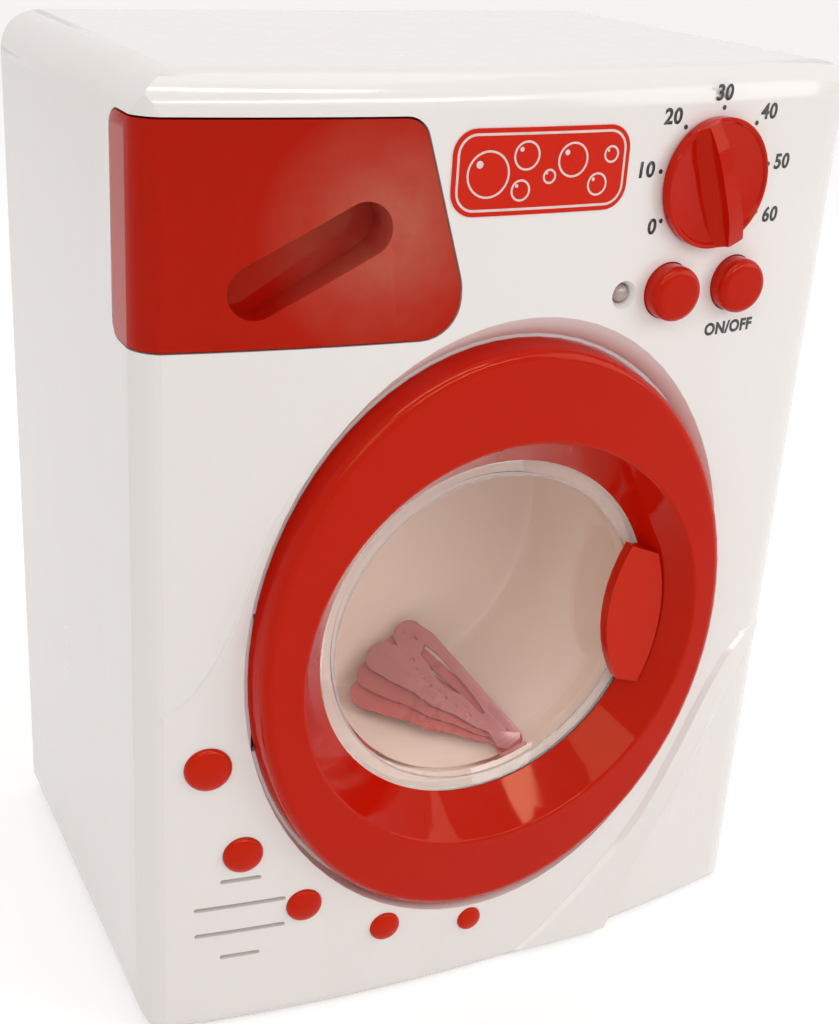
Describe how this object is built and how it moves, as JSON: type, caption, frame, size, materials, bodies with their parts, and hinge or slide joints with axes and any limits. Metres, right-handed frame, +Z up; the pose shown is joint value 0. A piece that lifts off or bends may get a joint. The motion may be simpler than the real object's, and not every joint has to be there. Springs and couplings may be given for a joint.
{
  "type": "toy washing machine",
  "caption": "Toy front-loading washing machine with a bowed case, an oval hinged door and window, a geared drum, a drawer, a programme knob, push buttons and a battery bay.",
  "frame": {"origin": "middle of the case's flat base, under the middle of the box behind the bowed front", "axes": "+Z up, +X to the right as seen from the front, +Y from the front to the back"},
  "size_m": [0.2, 0.1467, 0.258],
  "materials": {
    "white_case": "glossy",
    "white_part": "glossy",
    "red_ring": "glossy",
    "red_part": "glossy",
    "clear_window": "clear",
    "cream_drum": "satin",
    "cream_part": "satin",
    "label_print": "satin print",
    "steel": "satin",
    "screw_steel": "satin",
    "brass": "satin",
    "black_part": "matt",
    "board_green": "satin",
    "light_lens": "clear tinted",
    "cone_paper": "matt",
    "pink_toy": "satin"
  },
  "bodies": {
    "case": {"front_panel": "white_case", "rear_shell": "white_case", "case_screws": "screw_steel", "accent_stud_1": "red_part", "accent_stud_2": "red_part", "accent_stud_3": "red_part", "accent_stud_4": "red_part", "accent_stud_5": "red_part", "front_label": "label_print", "hinge_pin": "steel", "latch_clip": "cream_part", "drum_bush": "brass", "idler_pin": "steel", "motor_can": "steel", "gearbox_base": "cream_part", "gearbox_cover": "cream_part", "gearbox_screws": "screw_steel", "gearbox_mount_screws": "screw_steel", "drawer_guide": "cream_part", "guide_screws": "screw_steel", "led": "light_lens", "circuit_board": "board_green", "board_screws": "screw_steel", "left_switch": "black_part", "power_switch": "black_part", "speaker_basket": "steel", "speaker_magnet": "black_part", "speaker_cone": "cone_paper", "battery_contacts": "steel", "battery_springs": "steel", "toy_garment_1": "pink_toy", "toy_garment_2": "pink_toy", "toy_garment_3": "pink_toy"},
    "drum": {"drum": "cream_drum", "drum_shaft": "steel", "drum_gear": "white_part"},
    "idler": {"idler_gear": "white_part"},
    "motor_rotor": {"motor_shaft": "steel", "motor_pinion": "white_part"},
    "door": {"door_ring": "red_ring", "door_handle": "red_part", "door_window": "clear_window", "window_retainer": "cream_part", "retainer_screws": "screw_steel", "hinge_arms": "red_part", "hinge_arm_screws": "screw_steel", "latch_tongue": "red_part"},
    "drawer": {"drawer_front": "red_part", "drawer_tray": "white_part", "drawer_screws": "screw_steel"},
    "knob": {"knob": "red_part", "knob_washer": "steel", "knob_screw": "screw_steel"},
    "left_button": {"left_button": "red_part"},
    "power_button": {"power_button": "red_part"},
    "battery_cover": {"battery_cover": "white_case", "battery_cover_screw": "screw_steel"}
  },
  "joints": [
    {"name": "door_hinge", "type": "hinge", "parent": "case", "child": "door", "pos_m": [-0.081, -0.0625, 0.1075], "axis": [0, 0, -1], "range_deg": [0, 100]},
    {"name": "drum_spin", "type": "hinge", "parent": "case", "child": "drum", "pos_m": [-0.001, 0, 0.1075], "axis": [0, 1, 0], "continuous": true},
    {"name": "idler_spin", "type": "hinge", "parent": "case", "child": "idler", "pos_m": [0.0278, 0, 0.1075], "axis": [0, 1, 0], "continuous": true},
    {"name": "motor_spin", "type": "hinge", "parent": "case", "child": "motor_rotor", "pos_m": [0.037, 0, 0.09157], "axis": [0, 1, 0], "continuous": true},
    {"name": "drawer_slide", "type": "slide", "parent": "case", "child": "drawer", "axis": [0, -1, 0], "range_m": [0, 0.045]},
    {"name": "knob_turn", "type": "hinge", "parent": "case", "child": "knob", "pos_m": [0.0478, -0.07273, 0.2303], "axis": [0.0947, -0.9955, 0], "range_deg": [-141, 97]},
    {"name": "left_button_press", "type": "slide", "parent": "case", "child": "left_button", "axis": [0, 1, 0], "range_m": [0, 0.0015], "stiffness_N_per_m": 400},
    {"name": "power_button_press", "type": "slide", "parent": "case", "child": "power_button", "axis": [0, 1, 0], "range_m": [0, 0.0015], "stiffness_N_per_m": 400},
    {"name": "battery_cover_hinge", "type": "hinge", "parent": "case", "child": "battery_cover", "pos_m": [0, 0.064, 0.069], "axis": [1, 0, 0], "range_deg": [0, 75]}
  ],
  "couplings": [
    {"joint": "idler_spin", "follows": "drum_spin", "ratio": -5},
    {"joint": "motor_spin", "follows": "drum_spin", "ratio": 18}
  ]
}
